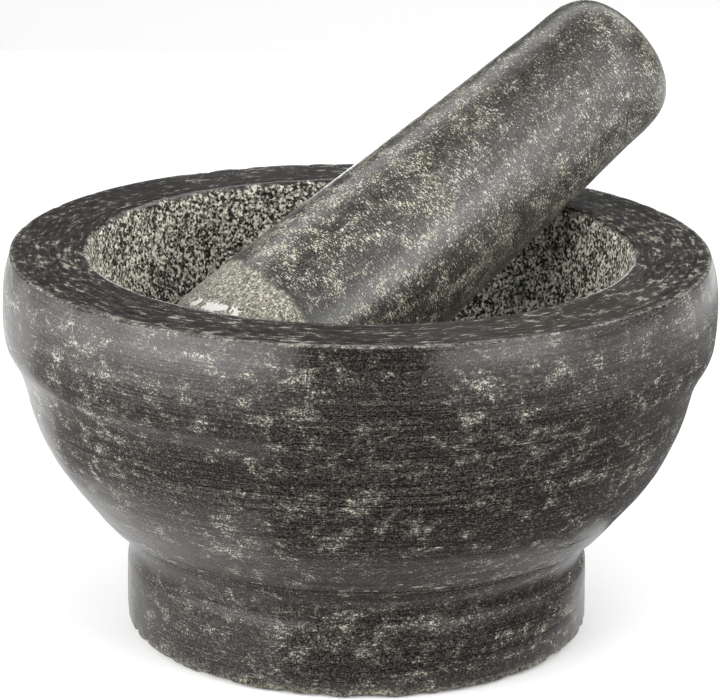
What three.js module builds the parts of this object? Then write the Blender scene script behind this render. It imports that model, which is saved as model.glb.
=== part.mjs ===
// Turned granite mortar and pestle (molcajete used in the place of the
// three-legged basalt kind). Two separate pieces of stone, nothing else:
//   mortar  footed bowl, turned in one piece, with a pecked grinding hollow
//   pestle  tapered club, thick rounded working end down, domed grip end up
// Units are millimetres, +Z is up, the origin is the centre of the foot's
// underside, and the person using it stands on the -Y side.
import * as THREE from 'three';

// ---------------------------------------------------------------- mortar
const SEG_BOWL = 72;            // facets round the bowl
const H = 111.0;                // table to the flat top of the rim
const R_FOOT = 66.6;            // side of the foot
const FOOT_EDGE = 1.9;          // worn lower edge of the foot, height
const R_BASE = 64.9;            // flat underside
const Z_FOOT_TOP = 19.0;        // where the cove above the foot begins
const Z_SCORE = 33.0;           // fine scored line between cove and bowl
const R_SCORE = 71.8;
const R_MAX = 101.6;            // widest point, on the collar
const R_RIM_OUT = 98.9;         // outer edge of the flat rim
const R_RIM_IN = 79.2;          // inner edge of the flat rim
const R_MOUTH = 76.5;           // hollow, just under the softened inner edge
const HOLLOW_Z = H - 1.0;       // height the hollow's ellipse is struck from
const HOLLOW_DEPTH = 79.3;      // depth of the hollow below that height
const HOLLOW_STEPS = 20;

// outer profile, [radius, height], bottom to top
const FOOT = [
  [0, 0], [R_BASE, 0], [R_BASE + 1.1, 0.6], [R_FOOT, FOOT_EDGE], [R_FOOT + 0.05, 5.0],
  [R_FOOT, 11.5], [R_FOOT - 0.1, 15.5], [R_FOOT - 0.25, Z_FOOT_TOP],
];
const COVE = [
  [65.9, 21.6], [65.7, 23.8], [66.2, 26.2], [67.5, 28.7], [69.6, 31.1],
  [R_SCORE, Z_SCORE],
];
const BOWL = [
  [73.1, 33.5], [74.2, 34.9], [76.6, 37.7], [79.0, 40.7], [81.4, 43.6],
  [83.8, 46.6], [85.9, 49.6], [87.8, 52.6], [89.4, 55.6], [90.8, 58.5],
  [92.1, 61.5], [93.2, 64.5], [94.1, 67.5], [94.7, 70.0],
];
const COLLAR = [
  [95.3, 72.6], [96.0, 75.4], [97.1, 78.4], [98.5, 81.2], [100.0, 83.8],
  [101.0, 86.4], [101.4, 89.2], [R_MAX, 93.0], [R_MAX, 97.5], [101.4, 101.5],
  [101.0, 105.0], [100.2, 108.2], [99.4, 110.3], [R_RIM_OUT, H],
];
const LIP = [[R_RIM_IN, H], [78.2, 110.75], [77.3, 110.1], [76.75, 109.0]];

function mortarProfile() {
  const p = [...FOOT, ...COVE, ...BOWL, ...COLLAR, ...LIP];
  for (let i = 1; i <= HOLLOW_STEPS; i++) {
    const t = (i / HOLLOW_STEPS) * Math.PI / 2;
    const s = 0.05 + t * (1 - 0.05 / (Math.PI / 2));     // start just below the lip
    const r = i === HOLLOW_STEPS ? 0 : R_MOUTH * Math.cos(s);
    p.push([r, HOLLOW_Z - HOLLOW_DEPTH * Math.sin(s)]);
  }
  return p;
}

// ---------------------------------------------------------------- pestle
const SEG_PESTLE = 48;
const PESTLE_LEN = 183.3;
const R_WORK = 29.4;            // thick working end
const R_GRIP = 22.7;            // thin end, at the shoulder of its dome
const WORK_LEN = 33.6;          // length of the rounded working end
const WORK_POW = 2.66;          // 2 is a half ellipse, more is blunter
const GRIP_LEN = 22.3;          // length of the domed grip end
const GRIP_POW = 3.9;
const END_STEPS = 13;
const BODY_STEPS = 6;

// Rest pose: the working end stands in the hollow on the -X side and the body
// leans on the inner edge of the rim on the +X +Y side.
const TIP = new THREE.Vector3(-51.05, -16.0, 58.8);   // working tip, on its axis
const AZ = 57.6;                // heading of the grip end, degrees from +Y to +X
const EL = 32.17;               // rise of the axis above the table, degrees

function superEnd(t, pow) {     // t 0 at the tip .. 1 at the shoulder
  const a = t * Math.PI / 2;
  return [Math.sin(a) ** (2 / pow), 1 - Math.cos(a) ** (2 / pow)];
}

function pestleProfile() {
  const p = [];
  for (let i = 0; i <= END_STEPS; i++) {
    const [fr, fz] = superEnd(i / END_STEPS, WORK_POW);
    p.push([i === 0 ? 0 : R_WORK * fr, WORK_LEN * fz]);
  }
  const z0 = WORK_LEN, z1 = PESTLE_LEN - GRIP_LEN;
  for (let i = 1; i < BODY_STEPS; i++) {
    const t = i / BODY_STEPS;
    p.push([R_WORK + (R_GRIP - R_WORK) * t, z0 + (z1 - z0) * t]);
  }
  for (let i = END_STEPS; i >= 0; i--) {
    const [fr, fz] = superEnd(i / END_STEPS, GRIP_POW);
    p.push([i === 0 ? 0 : R_GRIP * fr, PESTLE_LEN - GRIP_LEN * fz]);
  }
  return p;
}

// ---------------------------------------------------------------- solids
// a closed solid of revolution about +Z, from a profile that runs bottom to top
function turned(profile, segments) {
  const g = new THREE.LatheGeometry(profile.map(([r, z]) => new THREE.Vector2(r, z)), segments);
  g.rotateX(Math.PI / 2);
  return g;
}

const stone = (color, roughness) =>
  new THREE.MeshStandardMaterial({ color, roughness, metalness: 0 });

const mortar = new THREE.Mesh(turned(mortarProfile(), SEG_BOWL), stone(0x45463f, 0.5));
mortar.name = 'mortar';

const pestleGeometry = turned(pestleProfile(), SEG_PESTLE);
const d2r = Math.PI / 180;
const axis = new THREE.Vector3(
  Math.sin(AZ * d2r) * Math.cos(EL * d2r),
  Math.cos(AZ * d2r) * Math.cos(EL * d2r),
  Math.sin(EL * d2r));
const pose = new THREE.Matrix4().compose(
  TIP,
  new THREE.Quaternion().setFromUnitVectors(new THREE.Vector3(0, 0, 1), axis),
  new THREE.Vector3(1, 1, 1));
pestleGeometry.applyMatrix4(pose);
const pestle = new THREE.Mesh(pestleGeometry, stone(0x55554a, 0.45));
pestle.name = 'pestle';

const assembly = new THREE.Group();
assembly.name = 'molcajete';
assembly.add(mortar, pestle);

export default assembly;
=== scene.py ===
# Granite mortar and pestle: the smooth, finished meshes that stand for the
# faceted CAD solids, their stone, the studio and the camera.
import bpy
import math
import numpy as np
from mathutils import Matrix, Vector


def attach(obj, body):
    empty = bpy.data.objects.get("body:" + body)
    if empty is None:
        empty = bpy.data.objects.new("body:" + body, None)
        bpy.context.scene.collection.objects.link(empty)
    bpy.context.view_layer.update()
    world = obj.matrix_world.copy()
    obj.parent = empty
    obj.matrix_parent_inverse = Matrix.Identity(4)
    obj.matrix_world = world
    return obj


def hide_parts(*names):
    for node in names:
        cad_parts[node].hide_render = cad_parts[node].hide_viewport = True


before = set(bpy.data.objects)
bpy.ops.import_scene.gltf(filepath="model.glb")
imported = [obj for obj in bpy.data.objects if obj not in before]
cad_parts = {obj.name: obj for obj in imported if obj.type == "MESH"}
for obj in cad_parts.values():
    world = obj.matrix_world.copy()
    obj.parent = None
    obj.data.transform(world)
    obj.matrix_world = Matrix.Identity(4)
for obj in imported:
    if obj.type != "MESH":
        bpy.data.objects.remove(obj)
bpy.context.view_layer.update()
MM = 0.001

# ------------------------------------------------------------------ noise
def _hash(ix, iy, iz, seed):
    h = (ix.astype(np.int64) * 374761393 + iy.astype(np.int64) * 668265263
         + iz.astype(np.int64) * 1440662683 + seed * 974634777) & 0xFFFFFFFF
    h = ((h ^ (h >> 13)) * 1274126177) & 0xFFFFFFFF
    h = ((h ^ (h >> 16)) * 2246822519) & 0xFFFFFFFF
    return ((h ^ (h >> 15)) & 0xFFFFFF) / float(0xFFFFFF)


def value_noise(p, seed):
    """Smooth noise from 0 to 1 at points p, with one cell per unit."""
    f = np.floor(p)
    t = p - f
    t = t * t * t * (t * (t * 6 - 15) + 10)
    ix, iy, iz = f[:, 0], f[:, 1], f[:, 2]
    out = 0
    for dx in (0, 1):
        for dy in (0, 1):
            for dz in (0, 1):
                w = ((t[:, 0] if dx else 1 - t[:, 0])
                     * (t[:, 1] if dy else 1 - t[:, 1])
                     * (t[:, 2] if dz else 1 - t[:, 2]))
                out = out + w * _hash(ix + dx, iy + dy, iz + dz, seed)
    return out


def fbm(p, scale, seed, octaves=3, gain=0.5):
    """Several octaves of noise, -1 to 1 or so. scale is one cell's size, a number or one for each axis."""
    q = p / np.asarray(scale, float)
    total, amp, norm = 0, 1.0, 0.0
    for k in range(octaves):
        total = total + amp * (value_noise(q * 2.03 ** k + 17.3 * k, seed + 31 * k) * 2 - 1)
        norm += amp
        amp *= gain
    return total / norm * 1.6


def smooth(a, b, x):
    t = np.clip((x - a) / (b - a), 0, 1)
    return t * t * (3 - 2 * t)


# ------------------------------------------------------------ mortar shape
# The same profile as the CAD solid, [radius, height] in mm, in runs that meet
# at real edges: each run is one smooth curve.
H = 111.0
R_MOUTH, HOLLOW_Z, HOLLOW_DEPTH = 76.5, H - 1.0, 79.3
RUN_BASE = [[0.0, 0.0], [30.0, 0.0], [60.0, 0.0], [64.6, 0.0]]
RUN_EDGE = [[64.6, 0.0], [65.7, 0.35], [66.3, 1.0], [66.6, 2.1]]
RUN_FOOT = [
    [66.6, 2.1], [66.65, 5.0], [66.6, 11.5], [66.5, 15.5], [66.35, 19.0], [65.9, 21.6],
    [65.7, 23.8], [66.2, 26.2], [67.5, 28.7], [69.6, 31.1], [71.7, 32.9],
]
RUN_SCORE = [[71.7, 32.9], [71.75, 33.25], [72.1, 33.35], [72.9, 33.4]]
RUN_BOWL = [
    [72.9, 33.4], [74.2, 34.9], [76.6, 37.7], [79.0, 40.7], [81.4, 43.6], [83.8, 46.6],
    [85.9, 49.6], [87.8, 52.6], [89.4, 55.6], [90.8, 58.5], [92.1, 61.5], [93.2, 64.5],
    [94.1, 67.5], [94.7, 70.0],
]
RUN_COLLAR = [
    [94.7, 70.0], [95.3, 72.6], [96.0, 75.4], [97.1, 78.4], [98.5, 81.2], [100.0, 83.8],
    [101.0, 86.4], [101.4, 89.2], [101.6, 93.0], [101.6, 97.5], [101.4, 101.5],
    [101.0, 105.0], [100.2, 108.2], [99.5, 110.1],
]
RUN_RIM_EDGE = [[99.5, 110.1], [99.3, 110.6], [98.9, 110.93], [98.3, H]]
RUN_RIM = [[98.3, H], [92.0, H], [86.0, H], [79.6, H]]
RUN_LIP = [[79.6, H], [78.5, 110.85], [77.5, 110.35], [76.9, 109.6], [76.5, 108.4]]


def curve(points, step):
    """Centripetal Catmull-Rom through the points, sampled about every step mm. The first point is left out."""
    p = np.array(points, float)
    p = np.vstack([2 * p[0] - p[1], p, 2 * p[-1] - p[-2]])
    out = []
    for i in range(1, len(p) - 2):
        a, b, c, d = p[i - 1], p[i], p[i + 1], p[i + 2]
        t0 = 0.0
        t1 = t0 + max(np.linalg.norm(b - a), 1e-6) ** 0.5
        t2 = t1 + max(np.linalg.norm(c - b), 1e-6) ** 0.5
        t3 = t2 + max(np.linalg.norm(d - c), 1e-6) ** 0.5
        for t in np.linspace(t1, t2, 13)[1:]:
            a1 = (t1 - t) / (t1 - t0) * a + (t - t0) / (t1 - t0) * b
            a2 = (t2 - t) / (t2 - t1) * b + (t - t1) / (t2 - t1) * c
            a3 = (t3 - t) / (t3 - t2) * c + (t - t2) / (t3 - t2) * d
            b1 = (t2 - t) / (t2 - t0) * a1 + (t - t0) / (t2 - t0) * a2
            b2 = (t3 - t) / (t3 - t1) * a2 + (t - t1) / (t3 - t1) * a3
            out.append((t2 - t) / (t2 - t1) * b1 + (t - t1) / (t2 - t1) * b2)
    fine = np.vstack([p[1], out])
    s = np.concatenate([[0], np.cumsum(np.linalg.norm(np.diff(fine, axis=0), axis=1))])
    n = max(2, int(round(s[-1] / step)) + 1)
    q = np.linspace(0, s[-1], n)
    return np.stack([np.interp(q, s, fine[:, 0]), np.interp(q, s, fine[:, 1])], 1)[1:]


def mortar_profile():
    """Rings as [radius, height], from just outside the underside's centre to just outside the hollow's floor point."""
    rings = [np.array([[1.2, 0.0]])]
    rings.append(curve([[1.2, 0.0]] + RUN_BASE[1:], 7.5))
    rings.append(curve(RUN_EDGE, 0.45))
    rings.append(curve(RUN_FOOT, 1.0))
    rings.append(curve(RUN_SCORE, 0.3))
    rings.append(curve(RUN_BOWL, 1.05))
    rings.append(curve(RUN_COLLAR, 0.95))
    rings.append(curve(RUN_RIM_EDGE, 0.3))
    rings.append(curve(RUN_RIM, 1.7))
    rings.append(curve(RUN_LIP, 0.55))
    start = math.asin((HOLLOW_Z - 108.4) / HOLLOW_DEPTH)
    a = np.linspace(start, math.pi / 2, 2000)
    x, z = R_MOUTH * np.cos(a), HOLLOW_Z - HOLLOW_DEPTH * np.sin(a)
    s = np.concatenate([[0], np.cumsum(np.hypot(np.diff(x), np.diff(z)))])
    q = np.arange(1.15, s[-1] - 1.4, 1.15)
    rings.append(np.stack([np.interp(q, s, x), np.interp(q, s, z)], 1))
    return np.vstack(rings)


def revolve(prof, seg, bottom, top, shape):
    """A closed surface of revolution about +Z with its relief. prof runs from the bottom pole to the top pole, with the
    solid on its left.
    shape(p, normal, s) gives how far each point stands off along its normal, in mm, and its masks."""
    n = len(prof)
    s = np.concatenate([[0], np.cumsum(np.linalg.norm(np.diff(prof, axis=0), axis=1))]) + prof[0, 0]
    t = np.gradient(prof, s, axis=0)
    t /= np.maximum(np.linalg.norm(t, axis=1, keepdims=True), 1e-9)
    nr, nz = t[:, 1], -t[:, 0]
    th = np.arange(seg) * 2 * math.pi / seg
    c, d = np.cos(th), np.sin(th)
    p = np.stack([np.outer(prof[:, 0], c), np.outer(prof[:, 0], d),
                  np.repeat(prof[:, 1:2], seg, 1)], 2).reshape(-1, 3)
    nm = np.stack([np.outer(nr, c), np.outer(nr, d), np.repeat(nz[:, None], seg, 1)], 2).reshape(-1, 3)
    sv = np.repeat(s, seg)
    p = np.vstack([p, [bottom], [top]])
    nm = np.vstack([nm, [[0, 0, -1]], [[0, 0, 1]]])
    sv = np.concatenate([sv, [0.0], [s[-1] + 1.2]])
    off, masks = shape(p, nm, sv)
    out = p + nm * off[:, None]
    out[:, 2] = np.maximum(out[:, 2], 0.0)
    up_ring = np.stack([np.outer(t[:, 0], c), np.outer(t[:, 0], d), np.repeat(t[:, 1:2], seg, 1)], 2).reshape(-1, 3)
    masks["grain"] = np.vstack([up_ring, [[1, 0, 0]], [[1, 0, 0]]])
    i = np.arange(seg)
    j = (i + 1) % seg
    quads = []
    for k in range(n - 1):
        quads.append(np.stack([k * seg + i, k * seg + j, (k + 1) * seg + j, (k + 1) * seg + i], 1))
    faces = [tuple(q) for q in np.vstack(quads).tolist()]
    a, b = n * seg, n * seg + 1
    faces += [(a, int(j[m]), int(i[m])) for m in range(seg)]
    last = (n - 1) * seg
    faces += [(b, last + int(i[m]), last + int(j[m])) for m in range(seg)]
    return p, out, sv, masks, faces


def make_object(name, p, out, sv, masks, faces, place=None):
    """place puts the mesh where it stands. The loc attribute keeps each point's place in the piece's own frame, in mm."""
    me = bpy.data.meshes.new(name)
    me.from_pydata((out * MM).tolist(), [], faces)
    grain = masks.pop("grain")
    if place is not None:
        me.transform(place)
        grain = grain @ np.array(place.to_3x3()).T
    me.update()
    me.polygons.foreach_set("use_smooth", np.ones(len(me.polygons), bool))
    loc = me.attributes.new("loc", "FLOAT_VECTOR", "POINT")
    loc.data.foreach_set("vector", p.astype(np.float32).ravel())
    arc = me.attributes.new("arc", "FLOAT", "POINT")
    arc.data.foreach_set("value", sv.astype(np.float32))
    at = me.attributes.new("grain", "FLOAT_VECTOR", "POINT")
    at.data.foreach_set("vector", grain.astype(np.float32).ravel())
    for key, val in masks.items():
        at = me.attributes.new(key, "FLOAT", "POINT")
        at.data.foreach_set("value", np.asarray(val, np.float32))
    o = bpy.data.objects.new(name, me)
    bpy.context.scene.collection.objects.link(o)
    return o


PROF = mortar_profile()
_arc = np.concatenate([[0], np.cumsum(np.linalg.norm(np.diff(PROF, axis=0), axis=1))]) + PROF[0, 0]


def arc_at(r, z):
    """How far along the profile the point nearest (r, z) lies."""
    return float(_arc[np.argmin((PROF[:, 0] - r) ** 2 + (PROF[:, 1] - z) ** 2)])


A_EDGE = arc_at(65.7, 0.35)       # foot's worn lower edge
A_SCORE = arc_at(72.0, 33.3)      # scored line over the cove
A_STEP = arc_at(94.7, 70.0)       # where the collar starts
A_RIM = arc_at(98.9, 110.9)       # rim's outer edge
A_LIP = arc_at(77.5, 110.35)      # rim's inner edge


def mortar_shape(p, nm, s):
    ang = np.arctan2(p[:, 1], p[:, 0])
    ring = np.stack([60 * np.cos(ang), 60 * np.sin(ang), s], 1)     # long along the turning, short across it
    # where the pecked hollow begins, a ragged line on the lip
    ragged = 1.1 * fbm(p, 3.2, 5, 3) + 0.8 * fbm(p, 9.0, 6, 2)
    peck = smooth(A_LIP - 0.6, A_LIP + 0.8, s + ragged)
    outside = 1 - smooth(A_RIM - 2.0, A_RIM, s)
    rim = smooth(A_RIM - 0.3, A_RIM + 0.6, s) * (1 - peck)
    under = 1 - smooth(60.0, 63.0, s)
    off = np.zeros(len(p))
    # hand-finished outside: slow swells, faint flats and turned grooves
    off += outside * (1 - under) * (0.34 * fbm(p, (48, 48, 26), 11, 2) + 0.07 * fbm(p, 9.0, 12, 3))
    grooves = fbm(ring, (38, 38, 2.6), 13, 2)
    bands = smooth(-0.2, 0.5, fbm(ring, (90, 90, 16), 14, 2))
    off += outside * (1 - under) * (0.06 * grooves * (0.4 + bands))
    for a, w, depth in ((A_STEP + 1.5, 1.3, 0.16), (A_STEP + 12.0, 1.1, 0.12), (A_STEP - 15.0, 1.2, 0.08),
                        (A_STEP + 29.0, 1.1, 0.07), (A_SCORE + 9.0, 1.2, 0.07), (A_SCORE - 13.5, 1.2, 0.04)):
        keep = smooth(-0.35, 0.35, fbm(ring, (34, 34, 60), int(20 + a), 2))
        off -= depth * keep * np.exp(-((s - a) / w) ** 2)
    # the scored line, broken and chipped
    off -= 0.30 * np.exp(-((s - A_SCORE) / 0.7) ** 2) * (0.35 + 0.65 * smooth(-0.3, 0.3, fbm(ring, (14, 14, 40), 41, 2)))
    # worn and chipped lower edge of the foot
    near = np.exp(-((s - A_EDGE - 0.6) / 1.9) ** 2)
    chips = smooth(0.05, 0.55, fbm(p, (4.6, 4.6, 3.4), 51, 3))
    off -= near * (1.05 * chips + 0.35 * smooth(-0.2, 0.8, fbm(p, 1.9, 52, 2)))
    # nicks on the rim's outer edge
    near = np.exp(-((s - A_RIM) / 0.55) ** 2)
    off -= near * (0.05 + 0.32 * smooth(0.25, 0.75, fbm(p, (3.0, 3.0, 3.0), 61, 3)))
    # rim top, ground flat
    off += rim * 0.035 * fbm(p, 12.0, 71, 2)
    # the pecked hollow is cut into the stone, never proud of the true bowl
    pits = 0.5 + 0.5 * fbm(p, 2.9, 81, 2)
    soft = 0.5 + 0.5 * fbm(p, 8.5, 82, 2)
    off -= peck * (0.42 * np.clip(pits, 0, 1) + 0.30 * np.clip(soft, 0, 1))
    # sawn underside
    off += under * 0.05 * (fbm(p, (2.0, 22.0, 9.0), 91, 2) - 1.0)
    lip = np.exp(-(((p[:, 0] + 47.0) ** 2 + (p[:, 1] + 60.0) ** 2) / 13.0 ** 2)) * np.exp(-((s - A_LIP - 0.9) / 1.3) ** 2)
    lip = lip * smooth(-0.15, 0.25, fbm(p, (3.0, 3.0, 3.0), 63, 3))
    off -= 0.35 * lip
    worn = np.clip(1.3 * lip + np.exp(-((s - A_EDGE - 0.4) / 1.5) ** 2) * (0.35 + 0.9 * chips)
                   + np.exp(-((s - A_RIM) / 0.42) ** 2) * (0.25 + 0.75 * smooth(-0.1, 0.5, fbm(p, (3.0, 3.0, 3.0), 61, 3)))
                   + 0.75 * np.exp(-((s - A_SCORE) / 0.65) ** 2) * smooth(0.1, 0.6, fbm(ring, (9, 9, 40), 43, 2)), 0, 1)
    return off, {"peck": peck, "rim": rim, "under": under, "worn": worn}


bottom = (0.0, 0.0, -0.0)
top = (0.0, 0.0, HOLLOW_Z - HOLLOW_DEPTH)
SEG_M = 368
parts = revolve(PROF, SEG_M, bottom, top, mortar_shape)
mortar = make_object("mortar_stone", *parts)

# ------------------------------------------------------------ pestle shape
LEN, R_WORK, R_GRIP = 183.3, 29.4, 22.7
WORK_LEN, WORK_POW, GRIP_LEN, GRIP_POW = 33.6, 2.66, 22.3, 3.9
TIP, AZ, EL = (-51.05, -16.0, 58.8), 57.6, 32.17
ROUGH_TO = 42.9                  # the unpolished working end reaches this far up


def pestle_profile():
    t = np.linspace(0, 1, 900)[1:] * math.pi / 2
    wr, wz = R_WORK * np.sin(t) ** (2 / WORK_POW), WORK_LEN * (1 - np.cos(t) ** (2 / WORK_POW))
    gr, gz = R_GRIP * np.sin(t) ** (2 / GRIP_POW), LEN - GRIP_LEN * (1 - np.cos(t) ** (2 / GRIP_POW))
    r = np.concatenate([[0], wr, gr[::-1], [0]])
    z = np.concatenate([[0], wz, gz[::-1], [LEN]])
    s = np.concatenate([[0], np.cumsum(np.hypot(np.diff(r), np.diff(z)))])
    q = np.arange(0.8, s[-1] - 0.5, 0.82)
    return np.stack([np.interp(q, s, r), np.interp(q, s, z)], 1)


def pestle_shape(p, nm, s):
    z = p[:, 2]
    ang = np.arctan2(p[:, 1], p[:, 0])
    ring = np.stack([26 * np.cos(ang), 26 * np.sin(ang), z], 1)
    line = ROUGH_TO + 1.0 * fbm(p, 5.0, 105, 3) + 0.8 * fbm(p, 16.0, 106, 2)
    rough = 1 - smooth(-0.7, 0.7, z - line)
    off = (1 - rough) * (0.16 * fbm(p, (30, 30, 34), 111, 2) + 0.035 * fbm(ring, (20, 20, 2.4), 112, 2) - 0.06)
    pits = 0.5 + 0.5 * fbm(p, 2.3, 113, 3)
    off -= rough * (0.18 + 0.34 * np.clip(pits, 0, 1))
    edge = np.exp(-((z - line - 0.6) / 0.9) ** 2)
    worn = np.clip(0.6 * edge * smooth(0.2, 0.7, fbm(p, (5.0, 5.0, 5.0), 114, 2)), 0, 1)
    off -= 0.15 * worn
    # white bruises where the rough end meets the rim
    lift = np.array([-0.57, -0.36, 0.43])
    track = np.array([[-26.3, -11.8, 25.3], [-23.7, -16.4, 25.8], [-20.5, -20.4, 26.6], [-17.4, -23.2, 28.1], [-15.3, -24.6, 29.3]]) + lift
    d2 = np.min([((p - (track[k] * (1 - t) + track[k + 1] * t)) ** 2).sum(1) for k in range(4) for t in (0.0, 0.33, 0.67, 1.0)], axis=0)
    bruise = np.exp(-d2 / 1.7 ** 2) * smooth(-0.35, 0.0, fbm(p, (2.4, 2.4, 2.4), 117, 2))
    worn = np.clip(worn + 1.6 * bruise, 0, 1)
    return off, {"rough": rough, "worn": worn}


PP = pestle_profile()
parts = revolve(PP, 256, (0.0, 0.0, 0.0), (0.0, 0.0, LEN), pestle_shape)
axis = Vector((math.sin(math.radians(AZ)) * math.cos(math.radians(EL)),
               math.cos(math.radians(AZ)) * math.cos(math.radians(EL)),
               math.sin(math.radians(EL))))
turn = Vector((0, 0, 1)).rotation_difference(axis)
pestle = make_object("pestle_stone", *parts, place=Matrix.Translation(Vector(TIP) * MM) @ turn.to_matrix().to_4x4())

# ---------------------------------------------------------------- materials
class Nodes:
    """A few shorthands for building one material's nodes."""

    def __init__(self, name):
        self.mat = bpy.data.materials.new(name)
        self.mat.use_nodes = True
        self.nt = self.mat.node_tree
        self.nt.nodes.clear()

    def put(self, socket, value):
        if isinstance(value, bpy.types.NodeSocket):
            self.nt.links.new(value, socket)
        elif value is not None:
            socket.default_value = value

    def attr(self, name, vector=False):
        n = self.nt.nodes.new("ShaderNodeAttribute")
        n.attribute_type = "GEOMETRY"
        n.attribute_name = name
        return n.outputs["Vector" if vector else "Fac"]

    def math(self, op, a, b=None, c=None, clamp=False):
        n = self.nt.nodes.new("ShaderNodeMath")
        n.operation = op
        n.use_clamp = clamp
        for i, v in enumerate((a, b, c)):
            self.put(n.inputs[i], v)
        return n.outputs[0]

    def stretch(self, v, s):
        n = self.nt.nodes.new("ShaderNodeVectorMath")
        n.operation = "MULTIPLY"
        self.put(n.inputs[0], v)
        n.inputs[1].default_value = s
        return n.outputs[0]

    def shift(self, v, s):
        n = self.nt.nodes.new("ShaderNodeVectorMath")
        n.operation = "ADD"
        self.put(n.inputs[0], v)
        self.put(n.inputs[1], s)
        return n.outputs[0]

    def noise(self, v, scale=1.0, detail=2.0, rough=0.5, dist=0.0):
        n = self.nt.nodes.new("ShaderNodeTexNoise")
        n.noise_dimensions = "3D"
        self.put(n.inputs["Vector"], v)
        n.inputs["Scale"].default_value = scale
        n.inputs["Detail"].default_value = detail
        n.inputs["Roughness"].default_value = rough
        n.inputs["Distortion"].default_value = dist
        return n.outputs[0]

    def cells(self, v, scale, feature="F1", out="Distance"):
        n = self.nt.nodes.new("ShaderNodeTexVoronoi")
        n.feature = feature
        self.put(n.inputs["Vector"], v)
        n.inputs["Scale"].default_value = scale
        return n.outputs[out]

    def step(self, x, a, b, lo=0.0, hi=1.0):
        n = self.nt.nodes.new("ShaderNodeMapRange")
        n.interpolation_type = "SMOOTHSTEP"
        self.put(n.inputs["Value"], x)
        self.put(n.inputs["From Min"], a)
        self.put(n.inputs["From Max"], b)
        self.put(n.inputs["To Min"], lo)
        self.put(n.inputs["To Max"], hi)
        return n.outputs[0]

    def mix(self, f, a, b, mode="MIX"):
        n = self.nt.nodes.new("ShaderNodeMix")
        n.data_type = "RGBA"
        n.blend_type = mode
        n.clamp_factor = True
        self.put(n.inputs[0], f)
        self.put(n.inputs[6], a if not isinstance(a, tuple) else (*a, 1.0))
        self.put(n.inputs[7], b if not isinstance(b, tuple) else (*b, 1.0))
        return n.outputs[2]

    def mixf(self, f, a, b):
        n = self.nt.nodes.new("ShaderNodeMix")
        n.data_type = "FLOAT"
        self.put(n.inputs[0], f)
        self.put(n.inputs[2], a)
        self.put(n.inputs[3], b)
        return n.outputs[0]

    def ramp(self, x, stops):
        n = self.nt.nodes.new("ShaderNodeValToRGB")
        r = n.color_ramp
        while len(r.elements) < len(stops):
            r.elements.new(0.5)
        for e, (pos, col) in zip(r.elements, stops):
            e.position = pos
            e.color = (*col, 1.0)
        self.put(n.inputs[0], x)
        return n.outputs[0]

    def combine(self, x, y, z):
        n = self.nt.nodes.new("ShaderNodeCombineXYZ")
        for i, v in enumerate((x, y, z)):
            self.put(n.inputs[i], v)
        return n.outputs[0]

    def split(self, v):
        n = self.nt.nodes.new("ShaderNodeSeparateXYZ")
        self.put(n.inputs[0], v)
        return n.outputs

    def finish(self, colour, roughness, height, distance, specular, bump=1.0, turned=0.0):
        b = self.nt.nodes.new("ShaderNodeBump")
        b.inputs["Strength"].default_value = bump
        b.inputs["Distance"].default_value = distance
        self.put(b.inputs["Height"], height)
        p = self.nt.nodes.new("ShaderNodeBsdfPrincipled")
        self.put(p.inputs["Base Color"], colour)
        self.put(p.inputs["Roughness"], roughness)
        p.inputs["Specular IOR Level"].default_value = specular
        p.inputs["Metallic"].default_value = 0.0
        p.inputs["Anisotropic"].default_value = turned
        self.put(p.inputs["Tangent"], self.attr("grain", True))
        self.nt.links.new(b.outputs[0], p.inputs["Normal"])
        out = self.nt.nodes.new("ShaderNodeOutputMaterial")
        self.nt.links.new(p.outputs[0], out.inputs["Surface"])
        return self.mat


BLACK = (0.0060, 0.0054, 0.0050)
CHAR = (0.0150, 0.0138, 0.0126)
GREY = (0.042, 0.040, 0.036)
PALE = (0.36, 0.35, 0.28)
CREAM = (0.56, 0.545, 0.455)


def pecked(m, P, grain_size=1.0):
    """Rough broken granite, salt and pepper: returns its colour and its height."""
    a = m.noise(P, 0.98 / grain_size, 3.0, 0.70, 0.3)
    cell = m.cells(P, 1.25 / grain_size, "F1", "Color")
    cv = m.split(cell)[0]
    fine = m.noise(P, 3.2 / grain_size, 2.0, 0.6)
    big = m.noise(P, 0.16, 3.0, 0.6)
    v = m.math("ADD", m.math("MULTIPLY", a, 0.62), m.math("MULTIPLY", cv, 0.22))
    v = m.math("ADD", v, m.math("MULTIPLY", fine, 0.20))
    v = m.math("ADD", v, m.math("SUBTRACT", m.math("MULTIPLY", big, 0.16), 0.040))
    col = m.ramp(v, [(0.46, (0.010, 0.009, 0.007)), (0.525, (0.060, 0.056, 0.046)), (0.575, (0.262, 0.248, 0.198)),
                     (0.63, (0.60, 0.575, 0.478)), (0.69, (0.93, 0.905, 0.79))])
    h = m.math("ADD", m.math("MULTIPLY", a, 0.8), m.math("MULTIPLY", fine, 0.35))
    return col, h


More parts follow.
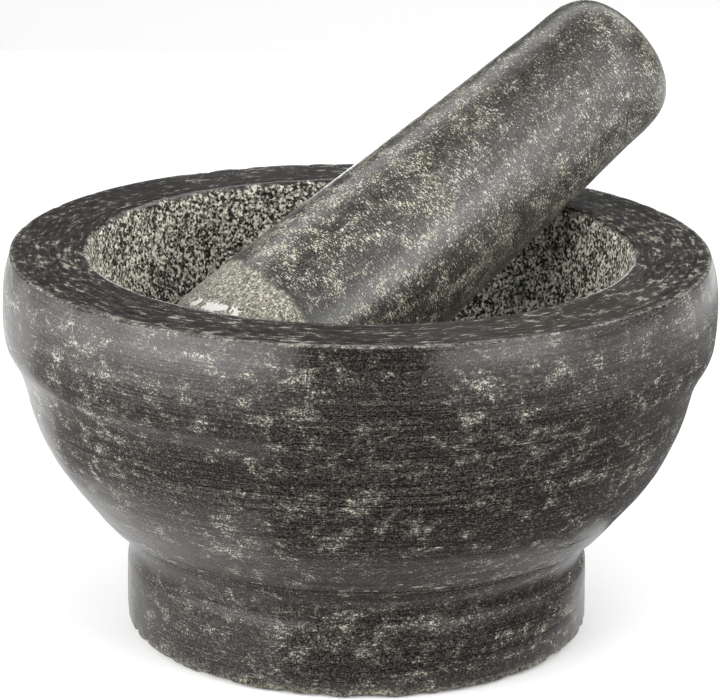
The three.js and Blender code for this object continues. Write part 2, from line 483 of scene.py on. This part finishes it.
def mortar_material():
    m = Nodes("granite_mortar")
    P = m.attr("loc", True)
    arc = m.attr("arc")
    xyz = m.split(P)
    ring = m.combine(m.math("MULTIPLY", xyz[0], 1.0), m.math("MULTIPLY", xyz[1], 1.0), arc)
    peck, rim, worn, under = m.attr("peck"), m.attr("rim"), m.attr("worn"), m.attr("under")
    # crystals, finer than a millimetre, and the cloudy clusters of pale ones
    g1 = m.noise(P, 2.0, 2.0, 0.66)
    g2 = m.noise(m.stretch(ring, (0.75, 0.75, 2.3)), 1.0, 2.0, 0.6)
    grain = m.math("ADD", m.math("MULTIPLY", g1, 0.60), m.math("MULTIPLY", g2, 0.40))
    patch = m.noise(m.stretch(ring, (0.165, 0.165, 0.205)), 1.0, 3.0, 0.62, 0.5)
    area = m.noise(m.shift(P, (31.0, 7.0, 3.0)), 0.030, 1.0, 0.5)
    mix_ = m.math("ADD", m.math("MULTIPLY", patch, 0.78), m.math("MULTIPLY", area, 0.22))
    clump = m.step(mix_, 0.455, 0.68)
    # lines left by turning, in bands
    fine_line = m.noise(m.stretch(ring, (0.030, 0.030, 2.6)), 1.0, 2.0, 0.70)
    rim_line = m.noise(m.stretch(ring, (0.022, 0.022, 0.95)), 1.0, 2.0, 0.70)
    line = m.mixf(rim, fine_line, rim_line)
    hair = m.noise(m.stretch(ring, (0.075, 0.075, 5.0)), 1.0, 1.0, 0.6)
    band = m.step(m.noise(m.stretch(ring, (0.007, 0.007, 0.11)), 1.0, 1.0, 0.5), 0.40, 0.62)
    sweep = m.noise(m.stretch(ring, (0.012, 0.012, 0.62)), 1.0, 2.0, 0.6)
    dark_line = m.math("MULTIPLY", m.step(line, 0.48, 0.36), m.math("ADD", 0.35, m.math("MULTIPLY", band, 0.65)))
    light_line = m.math("MULTIPLY", m.step(line, 0.60, 0.72), m.step(hair, 0.46, 0.60))
    # on the rim the pale crystals are fewer, and drawn out along the turning
    drawn = m.noise(m.stretch(ring, (0.26, 0.26, 0.80)), 1.0, 3.0, 0.68)
    grain = m.mixf(rim, grain, m.math("ADD", m.math("MULTIPLY", drawn, 0.72), m.math("MULTIPLY", g1, 0.28)))
    v = m.math("ADD", grain, m.math("MULTIPLY", clump, m.mixf(rim, 0.125, 0.125)))
    v = m.math("ADD", v, m.math("MULTIPLY", m.math("SUBTRACT", sweep, 0.5), m.mixf(rim, 0.20, 0.16)))
    v = m.math("ADD", v, m.math("MULTIPLY", rim, 0.036))
    v = m.math("SUBTRACT", v, m.math("MULTIPLY", dark_line, m.mixf(rim, 0.085, 0.070)))
    body = m.ramp(v, [(0.37, (0.0040, 0.0030, 0.0026)), (0.47, (0.0115, 0.0090, 0.0080)),
                      (0.54, (0.0245, 0.0205, 0.0182)), (0.60, (0.0520, 0.0470, 0.0400)),
                      (0.66, (0.115, 0.110, 0.090)), (0.735, (0.340, 0.330, 0.270))])
    body = m.mix(m.math("MULTIPLY", light_line, m.mixf(rim, 0.50, 0.35)), body, (0.085, 0.081, 0.072))
    pale = m.step(v, 0.62, 0.70)
    # broken stone of the hollow, and of chips
    pcol, ph = pecked(m, P)
    col = m.mix(peck, body, pcol)
    chip = m.math("MULTIPLY", worn, m.step(m.noise(P, 0.8, 3.0, 0.65), 0.40, 0.56), clamp=True)
    col = m.mix(chip, col, m.mix(m.step(g1, 0.35, 0.65), (0.11, 0.10, 0.075),
                                m.mix(m.math("GREATER_THAN", xyz[2], 60.0), (0.47, 0.45, 0.34), (0.62, 0.61, 0.55))))
    col = m.mix(m.math("MULTIPLY", under, 0.6), col, (0.05, 0.048, 0.044))
    # pale dashes where the scored line and two turned lines over it have chipped
    for place, width, low in ((A_SCORE + 0.35, 0.26, 0.50), (A_SCORE + 2.4, 0.20, 0.54), (A_SCORE + 5.6, 0.18, 0.58)):
        off_line = m.math("ABSOLUTE", m.math("SUBTRACT", m.math("ADD", arc, m.math("MULTIPLY", g1, 0.35)), place + 0.175))
        dash = m.noise(m.stretch(ring, (0.16, 0.16, 0.05)), 1.0, 3.0, 0.66)
        dash = m.math("MULTIPLY", m.step(off_line, width, width * 0.35), m.step(dash, low, low + 0.07))
        col = m.mix(m.math("MULTIPLY", dash, 0.85), col, (0.50, 0.49, 0.44))
    # gloss: honed outside, polished rim, dull hollow and chips
    honed = m.math("ADD", m.math("MULTIPLY", g1, 0.12), m.math("MULTIPLY", line, 0.14))
    rough = m.mixf(rim, m.math("ADD", 0.10, honed), m.math("ADD", 0.08, m.math("MULTIPLY", honed, 0.6)))
    rough = m.mixf(m.math("MULTIPLY", pale, 0.5), rough, 0.62)
    rough = m.mixf(m.math("MAXIMUM", peck, m.math("MAXIMUM", chip, under)), rough, 0.88)
    turning = m.math("ADD", m.math("MULTIPLY", line, 0.36), m.math("MULTIPLY", hair, 0.08))
    skin = m.math("ADD", m.math("MULTIPLY", g1, m.mixf(rim, 0.12, 0.035)), m.math("MULTIPLY", turning, m.mixf(rim, 1.0, 0.10)))
    height = m.mixf(m.math("MAXIMUM", peck, chip), skin, m.math("MULTIPLY", ph, 2.6))
    return m.finish(col, rough, height, 0.00022, 0.30, 0.9, 0.4)


def pestle_material():
    m = Nodes("granite_pestle")
    P = m.attr("loc", True)
    arc = m.attr("arc")
    xyz = m.split(P)
    ring = m.combine(m.math("MULTIPLY", xyz[0], 1.0), m.math("MULTIPLY", xyz[1], 1.0), arc)
    rough_end, worn = m.attr("rough"), m.attr("worn")
    g1 = m.noise(P, 2.3, 2.0, 0.64)
    g2 = m.noise(m.stretch(ring, (0.85, 0.85, 3.0)), 1.0, 2.0, 0.6, 0.4)
    grain = m.math("ADD", m.math("MULTIPLY", g1, 0.42), m.math("MULTIPLY", g2, 0.58))
    patch = m.noise(m.stretch(P, (0.21, 0.21, 0.17)), 1.0, 3.0, 0.62, 0.4)
    area = m.noise(m.shift(P, (5.0, 41.0, 13.0)), 0.030, 1.0, 0.5)
    clump = m.step(m.math("ADD", m.math("MULTIPLY", patch, 0.72), m.math("MULTIPLY", area, 0.28)), 0.42, 0.62)
    low = m.step(xyz[2], ROUGH_TO + 75.0, ROUGH_TO + 12.0)
    at = m.math("SUBTRACT", 0.575, m.math("MULTIPLY", clump, m.mixf(low, 0.062, 0.088)))
    pale = m.step(grain, at, m.math("ADD", at, 0.075))
    line = m.noise(m.stretch(ring, (0.10, 0.10, 3.2)), 1.0, 2.0, 0.7)
    hair = m.step(m.noise(m.stretch(ring, (0.14, 0.14, 4.5)), 1.0, 1.0, 0.6), 0.60, 0.72)
    body = m.mix(m.step(g1, 0.36, 0.66), (0.010, 0.0085, 0.0070), (0.056, 0.052, 0.046))
    body = m.mix(m.math("MULTIPLY", clump, 0.35), body, (0.105, 0.100, 0.084))
    tan = m.mix(m.step(m.noise(P, 0.3, 1.0, 0.5), 0.45, 0.65), (0.56, 0.535, 0.41), (0.60, 0.585, 0.51))
    body = m.mix(m.math("MULTIPLY", pale, m.mixf(low, 0.80, 0.95)), body, tan)
    body = m.mix(m.math("MULTIPLY", hair, 0.20), body, (0.26, 0.25, 0.215))
    # rough working end: paler and matt
    e = m.noise(P, 1.25, 3.0, 0.68)
    ef = m.noise(P, 3.0, 2.0, 0.6)
    ev = m.math("ADD", m.math("MULTIPLY", e, 0.6), m.math("MULTIPLY", ef, 0.4))
    ecol = m.ramp(ev, [(0.40, (0.060, 0.057, 0.044)), (0.47, (0.17, 0.162, 0.130)), (0.54, (0.34, 0.325, 0.270)),
                       (0.63, (0.84, 0.815, 0.70))])
    zz = m.math("ADD", xyz[2], m.math("MULTIPLY", m.noise(P, 0.16, 2.0, 0.6), 9.0))
    rubbed = m.math("MULTIPLY", m.step(zz, ROUGH_TO + 2.5, ROUGH_TO + 4.5), m.step(zz, ROUGH_TO + 9.5, ROUGH_TO + 6.0))
    body = m.mix(m.math("MULTIPLY", rubbed, 0.60), body, (0.050, 0.050, 0.048))
    col = m.mix(rough_end, body, ecol)
    ragged = m.math("ADD", worn, m.math("MULTIPLY", m.math("SUBTRACT", e, 0.5), 2.2))
    col = m.mix(m.math("MULTIPLY", m.step(worn, 0.05, 0.15), m.step(ragged, 0.50, 0.68)), col, (0.74, 0.73, 0.69))
    gloss = m.math("ADD", 0.17, m.math("ADD", m.math("MULTIPLY", g1, 0.12), m.math("MULTIPLY", line, 0.12)))
    gloss = m.mixf(m.math("MULTIPLY", pale, 0.5), gloss, 0.60)
    gloss = m.mixf(m.math("MAXIMUM", rough_end, worn), gloss, 0.86)
    skin = m.math("ADD", m.math("MULTIPLY", g1, 0.10), m.math("MULTIPLY", line, 0.14))
    height = m.mixf(rough_end, skin, m.math("MULTIPLY", ev, 2.0))
    return m.finish(col, gloss, height, 0.00022, 0.45, 0.9, 0.3)


mortar.data.materials.append(mortar_material())
pestle.data.materials.append(pestle_material())

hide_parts("mortar")
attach(mortar, "mortar")
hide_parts("pestle")
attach(pestle, "pestle")

# ------------------------------------------------------------------- studio
sc = bpy.context.scene
sc.view_settings.view_transform = "Standard"
sc.view_settings.look = "None"
sc.view_settings.exposure = 0.0
sc.view_settings.gamma = 1.0

me = bpy.data.meshes.new("floor")
me.from_pydata([(-5, -5, -0.0003), (5, -5, -0.0003), (5, 5, -0.0003), (-5, 5, -0.0003)], [], [(0, 1, 2, 3)])
floor = bpy.data.objects.new("floor", me)
sc.collection.objects.link(floor)
fm = bpy.data.materials.new("floor_pale")
fm.use_nodes = True
fb = fm.node_tree.nodes["Principled BSDF"]
fb.inputs["Base Color"].default_value = (0.94, 0.94, 0.94, 1)
fb.inputs["Roughness"].default_value = 0.9
fb.inputs["Specular IOR Level"].default_value = 0.1
me.materials.append(fm)

def flag(name, start, end, near, far, radiance):
    """A dark card over the table, seen only in the stone's reflections."""
    pts = []
    n = 12
    for k in range(n + 1):
        a = math.radians(start + (end - start) * k / n)
        pts.append((near * math.sin(a), -near * math.cos(a), 0.0004))
    for k in range(n, -1, -1):
        a = math.radians(start + (end - start) * k / n)
        pts.append((far * math.sin(a), -far * math.cos(a), 0.0004))
    mesh = bpy.data.meshes.new(name)
    mesh.from_pydata(pts, [], [tuple(range(len(pts)))])
    card = bpy.data.objects.new(name, mesh)
    sc.collection.objects.link(card)
    cm = bpy.data.materials.new(name)
    cm.use_nodes = True
    cb = cm.node_tree.nodes["Principled BSDF"]
    cb.inputs["Base Color"].default_value = (0, 0, 0, 1)
    cb.inputs["Specular IOR Level"].default_value = 0.0
    cb.inputs["Emission Color"].default_value = (1, 1, 1, 1)
    cb.inputs["Emission Strength"].default_value = radiance
    mesh.materials.append(cm)
    card.visible_camera = card.visible_diffuse = card.visible_transmission = False
    card.visible_volume_scatter = card.visible_shadow = False
    return card


flag("flag_front", -24, 84, 0.078, 0.46, 0.18)
flag("flag_right", 84, 128, 0.095, 0.44, 0.22)
flag("flag_right_back", 128, 164, 0.12, 0.46, 0.28)
flag("flag_left", -112, -24, 0.125, 0.42, 0.42)

world = bpy.data.worlds.new("studio")
sc.world = world
world.use_nodes = True
bg = world.node_tree.nodes["Background"]
bg.inputs["Color"].default_value = (0.95, 0.97, 1.0, 1)
bg.inputs["Strength"].default_value = 0.13


def light(name, w, h, radiance, place, facing):
    """A rectangular softbox that isn't seen directly."""
    data = bpy.data.lights.new(name, "AREA")
    data.shape = "RECTANGLE"
    data.size, data.size_y = w, h
    data.energy = radiance * math.pi * w * h
    o = bpy.data.objects.new(name, data)
    sc.collection.objects.link(o)
    o.location = place
    o.rotation_euler = Vector(facing).to_track_quat("-Z", "Y").to_euler()
    o.visible_camera = False
    return o


def wall(name, start, end, low, high, radiance, distance=0.50):
    """A softbox standing round the table from one azimuth to another. Azimuth 0 is over the camera, growing towards +X."""
    mid, half = math.radians((start + end) / 2), math.radians(abs(end - start) / 2)
    d = Vector((math.sin(mid), -math.cos(mid), 0))
    light(name, 2 * distance * math.tan(half), high - low, radiance,
          d * distance + Vector((0, 0, (low + high) / 2)), -d)


def panel(name, azimuth, elevation, size, radiance, distance=0.85):
    """A square softbox over the table, aimed at the bowl."""
    a, e = math.radians(azimuth), math.radians(elevation)
    d = Vector((math.cos(e) * math.sin(a), -math.cos(e) * math.cos(a), math.sin(e)))
    light(name, size, size, radiance, d * distance + Vector((0, 0, 0.1)), -d)


wall("left_a", -20, -35, 0.06, 0.40, 7.2)
wall("left_b_low", -35, -70, 0.0, 0.08, 5.4)
wall("left_b", -35, -70, 0.08, 0.20, 9.4)
wall("left_b_high", -35, -70, 0.20, 0.40, 6.4)
wall("left_c", -70, -88, 0.0, 0.20, 5.6)
wall("left_c_high", -70, -88, 0.20, 0.40, 2.8)
wall("left_d", -88, -105, 0.0, 0.20, 3.1)
wall("left_e", -105, -128, 0.0, 0.20, 1.1)
wall("right_a", 24, 40, 0.08, 0.40, 5.2)
wall("right_b", 40, 58, 0.06, 0.20, 4.4)
wall("right_b_high", 40, 58, 0.20, 0.40, 4.2)
wall("right_c", 58, 92, 0.0, 0.20, 2.3)
wall("right_d", 92, 125, 0.0, 0.20, 1.2)
wall("right_e", 125, 150, 0.0, 0.30, 0.55)
panel("high_right", 57, 21, 0.40, 3.3)
panel("high_front_right", 42, 46, 0.40, 2.6)
panel("high_top", 22, 71, 0.40, 1.4)
panel("high_side", 90, 55, 0.36, 1.0)
wall("back_left", -172, -190, 0.03, 0.112, 9.0, 0.80)
wall("back_left_high", -172, -190, 0.112, 0.17, 4.0, 0.80)
light("top_back", 2.2, 1.2, 2.4, (0, 1.3, 1.3), (0, 0, -1))
light("top_right", 0.5, 1.0, 1.6, (0.55, 0.25, 0.9), (0, 0, -1))
light("top_left", 0.8, 1.2, 1.0, (-0.95, 0.0, 1.1), (0.95, 0.0, -1.1))

# ------------------------------------------------------------------- camera
PHI, ROLL = math.radians(16.9073), math.radians(0.61)
DIST, AIM_Z, AIM_X = 942.4 * MM, 80.04 * MM, 0.187 * MM
fwd = Vector((0, math.cos(PHI), -math.sin(PHI)))
up0 = Vector((0, math.sin(PHI), math.cos(PHI)))
rt0 = Vector((1, 0, 0))
rt = rt0 * math.cos(ROLL) + up0 * math.sin(ROLL)
up = -rt0 * math.sin(ROLL) + up0 * math.cos(ROLL)
cam = bpy.data.cameras.new("camera")
cam.sensor_fit = "HORIZONTAL"
cam.sensor_width = 36.0
cam.lens = 164.35
cam.clip_start, cam.clip_end = 0.05, 50.0
cam.dof.use_dof = False
co = bpy.data.objects.new("camera", cam)
sc.collection.objects.link(co)
eye = Vector((AIM_X, -DIST * math.cos(PHI), AIM_Z + DIST * math.sin(PHI)))
rot = Matrix((rt, up, -fwd)).transposed().to_4x4()
co.matrix_world = Matrix.Translation(eye) @ rot
sc.camera = co
